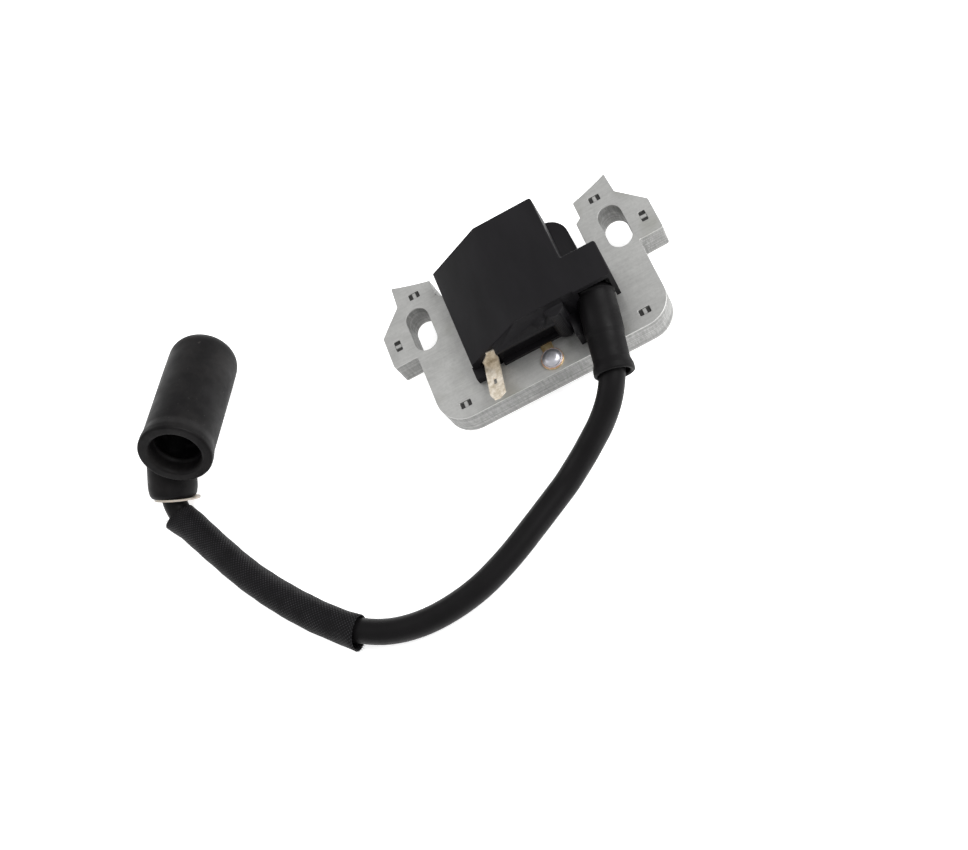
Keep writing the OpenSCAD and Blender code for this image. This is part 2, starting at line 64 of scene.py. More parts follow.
# Route of the lead's centreline, from inside the boot to inside the cap's neck
LEAD_ROUTE = [
    (15.1, -17.8, 20), (13.8, -23.6, 19.2), (12.5, -27.5, 18.4), (10.6, -30.6, 17.1),
    (8.4, -33, 15.3), (5.8, -34.9, 13.1), (2.8, -36.5, 10.6), (-0.8, -38.1, 8.2),
    (-4.6, -39.9, 6.1), (-8.5, -41.8, 4.6), (-12, -43.7, 3.8), (-16, -45.8, 3.6),
    (-24, -50.1, 3.6), (-33.4, -54.9, 3.6), (-43.5, -58.8, 3.6), (-53.3, -60.6, 3.6),
    (-62.3, -60.7, 3.8), (-70.6, -59, 4.3), (-78.2, -55.2, 4.8), (-85.6, -49, 4.8),
    (-94.6, -38.6, 4.8), (-103.3, -26.4, 4.8), (-110.6, -13.6, 4.8), (-115.2, -4.8, 4.8),
    (-117.3, -0.6, 4.8), (-118.3, 2.8, 5.5), (-118, 6.4, 7.2), (-115.9, 10.3, 9.3), (-113.2, 15.5, 12.2),
]
# Sleeve: start and end, counted in points of the route; radius before folds; radius that spaces
# the threads round it; and the least height over the table
SLEEVE_START = 18
SLEEVE_END = 24.5
SLEEVE_RADIUS = 4.42
BRAID_RADIUS = 4.4
SLEEVE_CLEARANCE = 0.12


def downwards(turn, slope):
    """Direction turned from +Y towards +X and sloping down, both in degrees."""
    level = cos(radians(slope))
    return Vector((sin(radians(turn)) * level, cos(radians(turn)) * level, -sin(radians(slope))))


# Lead boot: centre of its upper end, and the way it points
BOOT_TOP = Vector((17.5, -6.2, 21.7))
BOOT_AIM = downwards(180 + 12, 8)

# Plug cap: centre of its mouth, the way to its closed end, and its neck
CAP_MOUTH = Vector((-105.6, 7.4, 25.6))
CAP_AIM = downwards(15.4, 24.3)
NECK_END = Vector((-118, 6.4, 7.2))
NECK_KNEE = Vector((-112.6, 16.6, 12.8))
NECK_JOIN_DEPTH = 36
NECK_JOIN = CAP_MOUTH + NECK_JOIN_DEPTH * CAP_AIM

# Core: earth rivet, stake marks of one half as (x, y, turn in degrees), and its mounting slot
RIVET = Vector((-0.5, -14.6))
STAKES = [(26.6, -14.5, 0), (28.4, 23.9, 0), (37.9, 11.6, 90)]
SLOT_X, SLOT_Y = 30, 13
SLOT_HALF_WIDTH, SLOT_HALF_LENGTH = 3.4, 6.9


def from_hex(code):
    """Linear colour of an sRGB hex code such as "#2a2a2c"."""
    parts = [int(code[i:i + 2], 16) / 255 for i in (1, 3, 5)]
    return tuple(c / 12.92 if c <= 0.04045 else ((c + 0.055) / 1.055) ** 2.4 for c in parts)


# ---------- properties ----------

class CoilSizes(bpy.types.PropertyGroup):
    """Sizes that a user would change"""

    sheet: bpy.props.FloatProperty(
        name="Core sheet", description="Thickness of one core sheet, mm", default=0.5, min=0.3, max=0.7)
    sheet_edge: bpy.props.FloatProperty(
        name="Sheet edge", description="Rolled-over edge of a stamped sheet, mm",
        default=0.1, min=0.02, max=0.15)
    moulding_edge: bpy.props.FloatProperty(
        name="Moulding edge", description="Largest edge radius of the housing, mm",
        default=0.9, min=0.2, max=1.0)
    lead: bpy.props.FloatProperty(
        name="Lead", description="Outside diameter of the lead, mm", default=7.0, min=6.6, max=7.2)
    lead_length: bpy.props.FloatProperty(
        name="Lead length", description="Length of the lead with its ends inside boot and cap, mm",
        default=201.8, min=150, max=250)
    thread: bpy.props.FloatProperty(
        name="Sleeve thread", description="Spacing of the threads in the woven sleeve, mm",
        default=0.7, min=0.4, max=1.5)


class CoilColours(bpy.types.PropertyGroup):
    """Colours that a user would change"""

    steel: bpy.props.FloatVectorProperty(
        name="Core steel", description="Mill-finished electrical steel", subtype="COLOR",
        default=from_hex("#b3b3b1"), min=0, max=1)
    nylon: bpy.props.FloatVectorProperty(
        name="Housing", description="Glass-filled black nylon", subtype="COLOR",
        default=from_hex("#131214"), min=0, max=1)
    rubber: bpy.props.FloatVectorProperty(
        name="Rubber", description="Black rubber of boot, lead and cap", subtype="COLOR",
        default=from_hex("#0c0b0c"), min=0, max=1)
    sleeve: bpy.props.FloatVectorProperty(
        name="Sleeve", description="Woven glass-fibre sleeve", subtype="COLOR",
        default=from_hex("#0d0c0e"), min=0, max=1)


# ---------- materials ----------

def add(tree, kind, inputs=None, **settings):
    """Adds a node with its settings; inputs maps a socket to a value or to the output that feeds it."""
    node = tree.nodes.new(kind)
    for key, value in settings.items():
        setattr(node, key, value)
    for key, value in (inputs or {}).items():
        if isinstance(value, bpy.types.NodeSocket):
            tree.links.new(value, node.inputs[key])
        else:
            node.inputs[key].default_value = value
    return node


def start(name, **sockets):
    """New material with a Principled shader; returns it, its tree, the shader and coordinates in mm."""
    material = bpy.data.materials.new(name)
    material.use_nodes = True
    tree = material.node_tree
    tree.nodes.clear()
    shader = add(tree, "ShaderNodeBsdfPrincipled")
    for key, value in sockets.items():
        shader.inputs[key.replace("_", " ")].default_value = value
    add(tree, "ShaderNodeOutputMaterial", {"Surface": shader.outputs[0]})
    place = add(tree, "ShaderNodeTexCoord")
    coords = add(tree, "ShaderNodeVectorMath", {0: place.outputs["Object"], "Scale": 1 / MM},
                 operation="SCALE")
    return material, tree, shader, coords.outputs[0]


def stretched(tree, coords, scale):
    """Coordinates multiplied by a different number along each axis."""
    return add(tree, "ShaderNodeVectorMath", {0: coords, 1: scale}, operation="MULTIPLY").outputs[0]


def noise(tree, coords, size_mm, detail=3.0, rough=0.5):
    """Noise, 0 to 1, whose patches are about size_mm across."""
    return add(tree, "ShaderNodeTexNoise",
               {"Vector": coords, "Scale": 1 / size_mm, "Detail": detail, "Roughness": rough}).outputs[0]


def spread(tree, value, low, high, to_low, to_high):
    """Maps a value from one range to another, held inside the second."""
    return add(tree, "ShaderNodeMapRange",
               {0: value, 1: low, 2: high, 3: to_low, 4: to_high}, clamp=True).outputs[0]


def mixed(tree, share, first, second):
    """Colour between first and second."""
    colours = {6: (*first, 1) if isinstance(first, tuple) else first,
               7: (*second, 1) if isinstance(second, tuple) else second}
    return add(tree, "ShaderNodeMix", {0: share, **colours}, data_type="RGBA").outputs[2]


def relief(tree, shader, height, depth_mm, strength=1.0):
    """Feeds a height map to the shader's normal."""
    bump = add(tree, "ShaderNodeBump", {"Height": height, "Distance": depth_mm * MM, "Strength": strength})
    tree.links.new(bump.outputs[0], shader.inputs["Normal"])


def feed(tree, shader, **links):
    """Links outputs to the shader's sockets of the same names."""
    for key, value in links.items():
        tree.links.new(value, shader.inputs[key.replace("_", " ")])


def scaled(colour, share):
    """Colour multiplied by a share, held at white."""
    return tuple(min(1.0, c * share) for c in colour)


def rolled_steel(colour):
    """Electrical steel, cold rolled: a soft satin grey with faint rolling lines and cloudy patches."""
    material, tree, shader, coords = start("Rolled electrical steel", Metallic=0.75, Roughness=0.42)
    clouds = noise(tree, coords, 7.0, 5.0, 0.6)
    specks = noise(tree, coords, 0.7, 4.0, 0.7)
    lines = noise(tree, stretched(tree, coords, (0.12, 2.2, 1.0)), 1.0, 3.0, 0.6)
    base = mixed(tree, spread(tree, clouds, 0.3, 0.7, 0, 1), scaled(colour, 0.74), scaled(colour, 1.02))
    base = mixed(tree, spread(tree, specks, 0.35, 0.75, 0.28, 0), base, scaled(colour, 0.45))
    base = mixed(tree, spread(tree, lines, 0.35, 0.7, 0.0, 0.25), base, scaled(colour, 1.15))
    stain = noise(tree, coords, 11.0, 2.0)
    base = mixed(tree, spread(tree, stain, 0.56, 0.72, 0, 0.35), base, from_hex("#85857c"))
    feed(tree, shader, Base_Color=base, Roughness=spread(tree, clouds, 0.3, 0.7, 0.5, 0.36))
    height = add(tree, "ShaderNodeMath", {0: specks, 1: lines}, operation="ADD").outputs[0]
    relief(tree, shader, height, 0.03, 0.5)
    return material


def sheared_steel(colour):
    """The same steel where it was sheared: duller, with short burnished marks across each sheet's edge."""
    material, tree, shader, coords = start("Sheared electrical steel", Metallic=0.7, Roughness=0.5)
    marks = noise(tree, stretched(tree, coords, (1.6, 1.6, 0.25)), 1.0, 4.0, 0.7)
    sheets = noise(tree, stretched(tree, coords, (0.02, 0.02, 2.0)), 1.0, 1.0)
    clouds = noise(tree, coords, 6.0)
    base = mixed(tree, spread(tree, marks, 0.3, 0.7, 0, 1), scaled(colour, 0.42), scaled(colour, 0.85))
    base = mixed(tree, spread(tree, sheets, 0.4, 0.62, 0.5, 0), base, scaled(colour, 0.3))
    base = mixed(tree, spread(tree, clouds, 0.45, 0.7, 0, 0.3), base, scaled(colour, 0.5))
    feed(tree, shader, Base_Color=base)
    relief(tree, shader, marks, 0.04, 0.6)
    return material


def staked_steel_with_painted_shade(colour, floor_mm):
    """Sheet metal punched into a pocket: near black at the bottom as painted shade of the recess, bare on the
    raised bridge.
    """
    material, tree, shader, coords = start("Staked electrical steel", Metallic=0.6, Roughness=0.55)
    height = add(tree, "ShaderNodeSeparateXYZ", {0: coords}).outputs[2]
    grain = noise(tree, coords, 0.4, 3.0, 0.7)
    bare = mixed(tree, grain, scaled(colour, 0.5), scaled(colour, 0.95))
    # Painted shade: below the ridge the pocket's floor fades to near black, standing in for the shade in the
    # recess.
    base = mixed(tree, spread(tree, height, floor_mm + 0.1, floor_mm + 0.3, 0, 1), scaled(colour, 0.06), bare)
    feed(tree, shader, Base_Color=base)
    relief(tree, shader, grain, 0.03, 0.5)
    return material


def moulded_nylon(colour):
    """Glass-filled nylon from a spark-eroded mould: matte black with a fine even grain."""
    material, tree, shader, coords = start(
        "Moulded glass-filled nylon", Roughness=0.5, IOR=1.53, **{"Specular IOR Level": 0.11})
    grain = noise(tree, coords, 0.25, 3.0, 0.6)
    flow = noise(tree, stretched(tree, coords, (1, 0.35, 1)), 9.0, 4.0, 0.6)
    base = mixed(tree, spread(tree, flow, 0.35, 0.7, 0, 1), scaled(colour, 0.8), scaled(colour, 1.25))
    feed(tree, shader, Base_Color=base, Roughness=spread(tree, flow, 0.3, 0.7, 0.56, 0.44))
    relief(tree, shader, grain, 0.03, 0.35)
    return material


def cast_epoxy():
    """Potting epoxy poured and left to set: glossy black with a faint wavy surface."""
    material, tree, shader, coords = start(
        "Cast epoxy", Roughness=0.18, IOR=1.55, Base_Color=(*from_hex("#121114"), 1))
    waves = noise(tree, coords, 5.0, 2.0)
    dust = noise(tree, coords, 0.6, 4.0, 0.7)
    feed(tree, shader, Roughness=spread(tree, dust, 0.5, 0.75, 0.16, 0.4))
    relief(tree, shader, waves, 0.25, 0.5)
    return material


def moulded_rubber(colour, name="Moulded rubber", dust=0.0):
    """Moulded rubber: soft sheen, slightly uneven, with a greyish bloom where dust is above zero."""
    material, tree, shader, coords = start(
        name, Roughness=0.46, IOR=1.5, **{"Specular IOR Level": 0.09})
    skin = noise(tree, coords, 0.45, 4.0, 0.65)
    swirl = noise(tree, coords, 6.0, 4.0, 0.6)
    base = mixed(tree, spread(tree, swirl, 0.35, 0.7, 0, 1), scaled(colour, 0.8), scaled(colour, 1.3))
    if dust:
        bloom = noise(tree, coords, 9.0, 5.0, 0.65)
        base = mixed(tree, spread(tree, bloom, 0.42, 0.75, 0, dust), base, from_hex("#2e2c2b"))
        specks = noise(tree, coords, 1.3, 2.0, 0.5)
        base = mixed(tree, spread(tree, specks, 0.7, 0.8, 0, 0.5 * dust), base, from_hex("#6a6764"))
    feed(tree, shader, Base_Color=base, Roughness=spread(tree, swirl, 0.3, 0.7, 0.6, 0.42))
    relief(tree, shader, skin, 0.04, 0.3)
    return material


def extruded_jacket(colour):
    """Extruded lead jacket: smooth satin black with faint lines along it."""
    material, tree, shader, coords = start(
        "Extruded rubber jacket", Roughness=0.42, IOR=1.5, **{"Specular IOR Level": 0.11})
    cloud = noise(tree, coords, 5.0, 3.0, 0.6)
    base = mixed(tree, spread(tree, cloud, 0.35, 0.7, 0, 1), scaled(colour, 0.85), scaled(colour, 1.3))
    feed(tree, shader, Base_Color=base, Roughness=spread(tree, cloud, 0.3, 0.7, 0.5, 0.38))
    relief(tree, shader, noise(tree, coords, 0.6, 3.0), 0.02, 0.3)
    return material


def braided_glass(colour, spacing_mm):
    """Varnished glass-fibre braid: two sets of threads crossing, with a painted highlight where each comes to
    the top, strongest in noise patches.
    """
    material, tree, shader, _ = start(
        "Braided glass fibre", Roughness=0.5, IOR=1.5, **{"Specular IOR Level": 0.11})
    flat = add(tree, "ShaderNodeUVMap", uv_map="braid_mm").outputs[0]
    heights = []
    for turn in (45, -45):
        turned_uv = add(tree, "ShaderNodeVectorRotate", {"Vector": flat, "Angle": radians(turn)},
                        rotation_type="Z_AXIS").outputs[0]
        threads = {"Vector": turned_uv, "Scale": pi / 10 / spacing_mm, "Distortion": 0.6, "Detail": 1.0}
        heights.append(add(tree, "ShaderNodeTexWave", threads, bands_direction="X").outputs[1])
    weave = add(tree, "ShaderNodeMath", {0: heights[0], 1: heights[1]}, operation="MULTIPLY").outputs[0]
    patches = noise(tree, flat, 6.0, 4.0, 0.7)
    crossing = spread(tree, weave, 0.35, 0.8, 0, 1)
    # Painted highlight: these noise patches stand for light along the sleeve's creases.
    painted_highlight_patches = spread(tree, patches, 0.4, 0.65, 0.15, 1)
    painted_glint_mask = add(tree, "ShaderNodeMath", {0: crossing, 1: painted_highlight_patches}, operation="MULTIPLY").outputs[0]
    # Painted highlight: the threads' tops are lightened towards pale grey in the base colour.
    base = mixed(tree, painted_glint_mask, scaled(colour, 0.7), from_hex("#353437"))
    feed(tree, shader, Base_Color=base, Roughness=spread(tree, weave, 0, 1, 0.65, 0.4))
    relief(tree, shader, weave, 0.14, 0.7)
    return material


def tinned_strip():
    """Tin-plated brass strip: warm pale metal, softly scratched."""
    material, tree, shader, coords = start("Tin-plated strip", Metallic=0.7, Roughness=0.36)
    patches = noise(tree, coords, 1.6, 4.0, 0.65)
    base = mixed(tree, spread(tree, patches, 0.35, 0.68, 0, 1), from_hex("#b9ad98"), from_hex("#efe6d8"))
    feed(tree, shader, Base_Color=base, Roughness=spread(tree, patches, 0.3, 0.7, 0.46, 0.28))
    relief(tree, shader, noise(tree, stretched(tree, coords, (3, 0.6, 3)), 1.0), 0.02, 0.5)
    return material


def pressed_brass():
    """Pressed brass: pale yellow, satin."""
    material, tree, shader, coords = start("Pressed brass", Metallic=0.85, Roughness=0.32)
    patches = noise(tree, coords, 2.0, 3.0)
    base = mixed(tree, spread(tree, patches, 0.3, 0.7, 0, 1), from_hex("#c9a66a"), from_hex("#f0dcae"))
    feed(tree, shader, Base_Color=base)
    relief(tree, shader, noise(tree, coords, 0.4), 0.02, 0.4)
    return material


def zinc_plate():
    """Bright zinc over brass, set by a punch: silver, with copper-coloured metal showing at the rim."""
    material, tree, shader, coords = start("Bright zinc plate", Metallic=0.9, Roughness=0.38)
    offset = add(tree, "ShaderNodeVectorMath", {0: coords, 1: (RIVET.x, RIVET.y, 0)}, operation="SUBTRACT")
    flat = stretched(tree, offset.outputs[0], (1, 1, 0))
    reach = add(tree, "ShaderNodeVectorMath", {0: flat}, operation="LENGTH").outputs[1]
    wear = noise(tree, coords, 0.8)
    ragged = add(tree, "ShaderNodeMath", {0: wear, 1: 0.7}, operation="MULTIPLY").outputs[0]
    edge = add(tree, "ShaderNodeMath", {0: reach, 1: ragged}, operation="ADD").outputs[0]
    worn = spread(tree, edge, 3.0, 3.4, 0, 0.85)
    base = mixed(tree, worn, from_hex("#b4b4ba"), from_hex("#c08a5e"))
    feed(tree, shader, Base_Color=base)
    relief(tree, shader, noise(tree, coords, 0.5, 3.0), 0.06, 0.5)
    return material


def cream_nylon(name="Natural nylon", aged=False):
    """Natural nylon: cream, slightly waxy."""
    material, tree, shader, coords = start(name, Roughness=0.4, IOR=1.53, **{"Subsurface Weight": 0.08})
    tones = ("#8f867b", "#b9ada2") if aged else ("#cdbb9c", "#e9dfca")
    base = mixed(tree, noise(tree, coords, 3.0), from_hex(tones[0]), from_hex(tones[1]))
    feed(tree, shader, Base_Color=base)
    relief(tree, shader, noise(tree, coords, 0.4), 0.02, 0.3)
    return material


def enamelled_copper():
    """Enamelled copper wire wound in layers: fine ribs round the coil."""
    material, tree, shader, coords = start("Enamelled copper wire", Metallic=0.9, Roughness=0.3)
    wave = add(tree, "ShaderNodeTexWave", {"Vector": coords, "Scale": pi / 10 / 0.5}, bands_direction="Y")
    turns = wave.outputs[1]
    base = mixed(tree, turns, from_hex("#6e3417"), from_hex("#c77b45"))
    feed(tree, shader, Base_Color=base)
    relief(tree, shader, turns, 0.15, 0.8)
    return material


def solder_mask():
    """Glass-epoxy board under green solder mask."""
    material, tree, shader, coords = start("Green solder mask", Roughness=0.3, IOR=1.5)
    base = mixed(tree, noise(tree, coords, 1.5), from_hex("#1f5a30"), from_hex("#2f7a42"))
    feed(tree, shader, Base_Color=base)
    relief(tree, shader, noise(tree, coords, 0.5), 0.02, 0.3)
    return material


def moulded_epoxy():
    """Transfer-moulded epoxy of electronic parts: dark grey, matte."""
    material, tree, shader, coords = start("Moulded epoxy", Roughness=0.55, IOR=1.55)
    base = mixed(tree, noise(tree, coords, 0.8), from_hex("#1d1d1e"), from_hex("#2c2c2e"))
    feed(tree, shader, Base_Color=base)
    relief(tree, shader, noise(tree, coords, 0.2), 0.02, 0.4)
    return material


def fired_ceramic():
    """Fired ceramic of the small capacitors: tan, smooth."""
    material, tree, shader, coords = start("Fired ceramic", Roughness=0.4, IOR=1.6)
    base = mixed(tree, noise(tree, coords, 0.6), from_hex("#8e6336"), from_hex("#b98a55"))
    feed(tree, shader, Base_Color=base)
    return material


def studio_paper():
    """Seamless white paper under the object: matte, with barely any tooth."""
    material, tree, shader, coords = start("Studio paper", Roughness=0.9, **{
        "Specular IOR Level": 0.1, "Emission Strength": 0.6})
    base = mixed(tree, noise(tree, coords, 40.0), from_hex("#fafafa"), from_hex("#ffffff"))
    feed(tree, shader, Base_Color=base, Emission_Color=base)
    return material


# ---------- shapes ----------

def rounded(corners, closed=True, steps=5):
    """Outline whose corners, each (x, y, radius), are turned into arcs; returns a list of (x, y)."""
    points = []
    count = len(corners)
    for i, (x, y, r) in enumerate(corners):
        here = Vector((x, y))
        if r == 0 or (not closed and i in (0, count - 1)):
            points.append(here)
            continue
        to_last = Vector(corners[i - 1][:2]) - here
        to_next = Vector(corners[(i + 1) % count][:2]) - here
        half = to_last.angle(to_next) / 2
        cut = min(r * cos(half) / sin(half), 0.49 * to_last.length, 0.49 * to_next.length)
        a = here + to_last.normalized() * cut
        b = here + to_next.normalized() * cut
        bisector = (to_last.normalized() + to_next.normalized()).normalized()
        centre = here + bisector * (cut / cos(half))
        sweep = pi - 2 * half
        for k in range(steps + 1):
            t = k / steps
            arm = sin((1 - t) * sweep) * (a - centre) + sin(t * sweep) * (b - centre)
            points.append(centre + arm / sin(sweep))
    return [(p.x, p.y) for p in points]


def window(x, y, half_x, half_y, radius, steps):
    """Outline of a rectangle about a point, with rounded corners."""
    signs = ((1, -1), (1, 1), (-1, 1), (-1, -1))
    return rounded([(x + a * half_x, y + b * half_y, radius) for a, b in signs], steps=steps)


def smooth_path(points, steps):
    """Finer list of points on the smooth curve through a route."""
    points = [Vector(p) for p in points]
    last = len(points) - 1
    fine = []
    for i in range(last):
        a, b, c, d = points[max(i - 1, 0)], points[i], points[i + 1], points[min(i + 2, last)]
        for k in range(steps):
            t = k / steps
            fine.append(0.5 * (2 * b + (c - a) * t + (2 * a - 5 * b + 4 * c - d) * t ** 2
                               + (3 * b - a - 3 * c + d) * t ** 3))
    return fine + [points[last]]


def aimed(origin, direction):
    """Matrix that puts +Z along a direction at an origin, both in mm, for a mesh in metres."""
    turn = Vector((0, 0, 1)).rotation_difference(direction)
    return Matrix.Translation(origin * MM) @ turn.to_matrix().to_4x4()


def show(name, mesh, material, slot, *nodes):
    """Puts a finished mesh in the scene as a piece that stands for the CAD nodes named."""
    obj = bpy.data.objects.new(name, mesh)
    bpy.context.scene.collection.objects.link(obj)
    mesh.materials.clear()
    mesh.materials.append(material)
    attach(obj, "root")
    if nodes:
        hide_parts(*nodes)


def shaded(mesh, sharp=35):
    """The mesh, shaded smooth up to an angle in degrees."""
    mesh.shade_smooth()
    mesh.set_sharp_from_angle(angle=radians(sharp))
    return mesh


def finished(bm, name, sharp=35):
    """Mesh of a bmesh, shaded smooth up to an angle in degrees."""
    mesh = bpy.data.meshes.new(name)
    bm.to_mesh(mesh)
    bm.free()
    return shaded(mesh, sharp)


def evaluated(mesh, name, *modifiers):
    """Mesh after the modifiers, each a (type, settings) pair."""
    obj = bpy.data.objects.new(name, mesh)
    bpy.context.scene.collection.objects.link(obj)
    for kind, settings in modifiers:
        modifier = obj.modifiers.new(kind.title(), kind)
        for key, value in settings.items():
            setattr(modifier, key, value)
    graph = bpy.context.evaluated_depsgraph_get()
    result = bpy.data.meshes.new_from_object(obj.evaluated_get(graph))
    bpy.data.objects.remove(obj)
    result.name = name
    return result


def turned(profile, steps=72):
    """bmesh of a profile of (distance from the axis, height), turned about Z."""
    bm = bmesh.new()
    verts = [bm.verts.new((r * MM, 0, z * MM)) for r, z in profile]
    edges = [bm.edges.new(pair) for pair in zip(verts, verts[1:])]
    bmesh.ops.spin(bm, geom=verts + edges, cent=(0, 0, 0), axis=(0, 0, 1), angle=2 * pi, steps=steps,
                   use_merge=True)
    bmesh.ops.remove_doubles(bm, verts=bm.verts, dist=1e-7)
    bmesh.ops.recalc_face_normals(bm, faces=bm.faces)
    return bm


def plate(name, loops, low, high, edge, inset=0.0):
    """Flat stamping between two heights with holes and a slightly rolled edge; the first loop is outside."""
    curve = bpy.data.curves.new(name, "CURVE")
    curve.dimensions = "2D"
    curve.fill_mode = "BOTH"
    curve.extrude = ((high - low) / 2 - edge) * MM
    curve.bevel_depth = edge * MM
    curve.bevel_resolution = 1
    curve.offset = -(edge + inset) * MM
    for number, loop in enumerate(loops):
        points = loop if number == 0 else loop[::-1]
        spline = curve.splines.new("POLY")
        spline.points.add(len(points) - 1)
        for point, (x, y) in zip(spline.points, points):
            point.co = (x * MM, y * MM, 0, 1)
        spline.use_cyclic_u = True
    obj = bpy.data.objects.new(name, curve)
    bpy.context.scene.collection.objects.link(obj)
    mesh = bpy.data.meshes.new_from_object(obj.evaluated_get(bpy.context.evaluated_depsgraph_get()))
    bpy.data.objects.remove(obj)
    mesh.transform(Matrix.Translation((0, 0, (low + high) / 2 * MM)))
    return mesh


def joined(name, meshes):
    """One mesh made of several."""
    bm = bmesh.new()
    for mesh in meshes:
        bm.from_mesh(mesh)
    return finished(bm, name)


def softened(node, name, width, weight, segments=3, clamp=True):
    """Copy of a CAD node's mesh with rounded edges; weight(middle in mm, direction) is the share of width."""
    bm = bmesh.new()
    bm.from_mesh(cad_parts[node].data)
    bmesh.ops.remove_doubles(bm, verts=bm.verts, dist=2e-6)
    bmesh.ops.dissolve_limit(bm, angle_limit=radians(1), verts=bm.verts, edges=bm.edges)
    layer = bm.edges.layers.float.new("bevel_weight_edge")
    for edge in bm.edges:
        if edge.is_manifold and edge.calc_face_angle(0) > radians(32):
            a, b = edge.verts[0].co / MM, edge.verts[1].co / MM
            edge[layer] = weight((a + b) / 2, (b - a).normalized())
    rough = bpy.data.meshes.new(name)
    bm.to_mesh(rough)
    bm.free()
    return shaded(evaluated(rough, name, ("BEVEL", {
        "limit_method": "WEIGHT", "width": width * MM, "segments": segments, "use_clamp_overlap": clamp,
        "loop_slide": False})))


# ---------- core ----------

def core_loops(with_stakes):
    """Outline and holes of one core sheet."""
    half, ear, leg_in, tip = 34.0, CORE[1].x, 20.9, 33.8
    rim_r, rim_y = 89.5, 112.6

    def pole(x):
        return rim_y - sqrt(rim_r ** 2 - x ** 2)

    right = [(half, -18.6, 8), (half, 5.6, 0.6), (ear, 5.6, 0.7), (ear, 15.9, 0.6), (34.2, 23.1, 0.5)]
    right += [(tip, pole(tip), 0.3)]
    right += [(x, pole(x), 0) for x in (31.5, 29, 26.5, 24.5)]
    right += [(22.6, pole(22.6), 0.5), (22.6, 20.6, 0.3), (leg_in, 19.4, 0.3), (leg_in, -8.6, 0.8)]
    right += [(4.5, -8.6, 0.4), (4.5, pole(4.5), 0.2), (2.2, pole(2.2), 0)]
    left = [(-x, y, r) for x, y, r in right[::-1]]
    loops = [rounded(right + left, steps=7)]
    for side in (-1, 1):
        end_radius = SLOT_HALF_WIDTH - 0.01
        loops.append(window(side * SLOT_X, SLOT_Y, SLOT_HALF_WIDTH, SLOT_HALF_LENGTH, end_radius, 12))
    hole = 1.6
    angles = [k * pi / 12 for k in range(24)]
    loops.append([(RIVET.x + hole * cos(a), RIVET.y + hole * sin(a)) for a in angles])
    if with_stakes:
        for side in (-1, 1):
            for x, y, turn in STAKES:
                half_x, half_y = (1.6, 0.95) if turn == 0 else (0.95, 1.6)
                loops.append(window(side * x, y, half_x, half_y, 0.25, 3))
    return loops


def stake_bridges(height):
    """The bent-down metal left in each stake mark: a low ridge across its middle."""
    bm = bmesh.new()
    for side in (-1, 1):
        for x, y, turn in STAKES:
            along, across = (1.55, 0.85) if turn == 0 else (0.85, 1.55)
            ridge, floor = 0.34, 0.04
            rows = []
            for t in (-1, -0.45, -0.25, 0.25, 0.45, 1):
                lift = ridge if abs(t) < 0.3 else floor
                if turn == 0:
                    ends = [(side * x + t * along, y + s * across) for s in (-1, 1)]
                else:
                    ends = [(side * x + s * along, y + t * across) for s in (-1, 1)]
                rows.append([bm.verts.new((px * MM, py * MM, (height + lift) * MM)) for px, py in ends])
            for a, b in zip(rows, rows[1:]):
                bm.faces.new((a[0], a[1], b[1], b[0]))
    bmesh.ops.recalc_face_normals(bm, faces=bm.faces)
    return finished(bm, "stake_bridges", 20)


class COIL_OT_core(bpy.types.Operator):
    """Builds the laminated core: first sheet, stack of sheets and last sheet"""
    bl_idname = "coil.core"
    bl_label = "Laminated core"

    def execute(self, context):
        sizes, colours = context.scene.coil_sizes, context.scene.coil_colours
        steel = rolled_steel(tuple(colours.steel))
        edges = sheared_steel(tuple(colours.steel))
        marked, plain = core_loops(True), core_loops(False)
        rng = random.Random(4)
        count = round((FRONT - BACK) / sizes.sheet) - 2
        burr, most_inset = 0.07, 0.05
        slabs = []
        for i in range(count):
            low = BACK + (i + 1) * sizes.sheet
            inset = rng.uniform(0, most_inset)
            slabs.append(plate("sheet", plain, low, low + sizes.sheet, burr, inset))
        show("core_sheets", joined("core_sheets", slabs), edges, "lamination", "core_sheet_stack")
        front = plate("core_front", marked, FRONT - sizes.sheet, FRONT, sizes.sheet_edge)
        show("core_front", joined("core_front", [front]), steel, "lamination", "core_front_sheet")
        back = plate("core_back", marked, BACK, BACK + sizes.sheet, sizes.sheet_edge)
        show("core_back", joined("core_back", [back]), steel, "lamination", "core_back_sheet")
        # The stake pockets' floors carry painted shade.
        staked = staked_steel_with_painted_shade(tuple(colours.steel), FRONT - sizes.sheet)
        show("stake_bridges", stake_bridges(FRONT - sizes.sheet), staked, "lamination")
        return {"FINISHED"}


# ---------- housing ----------

def housing_weight(p, along):
    """Share of the largest edge radius of a housing edge with its middle at p.

    The lower half, the wall over the yoke and the hood's lower edges stay sharp: rounding would fold them.
    """
    if p.z < 17 or p.y < -7.5 or (p.y < 1 and p.x > 13 and p.z < 29):
        return 0.0
    if abs(along.z) > 0.9 and p.y > 2:
        return 1.0
    return 0.5


class COIL_OT_housing(bpy.types.Operator):
    """Builds the moulded housing and fills it with resin"""
    bl_idname = "coil.housing"
    bl_label = "Coil housing"

    def execute(self, context):
        sizes, colours = context.scene.coil_sizes, context.scene.coil_colours
        nylon = moulded_nylon(tuple(colours.nylon))
        width = sizes.moulding_edge
        shell = softened("coil_housing", "housing", width, housing_weight, clamp=False)
        show("housing", shell, nylon, "housing_plastic", "coil_housing")
        dress("potting_compound", cast_epoxy())
        return {"FINISHED"}


def dress(node, material):
    """Gives a CAD node's object its material."""
    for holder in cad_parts[node].material_slots:
        holder.material = material


# ---------- terminals ----------

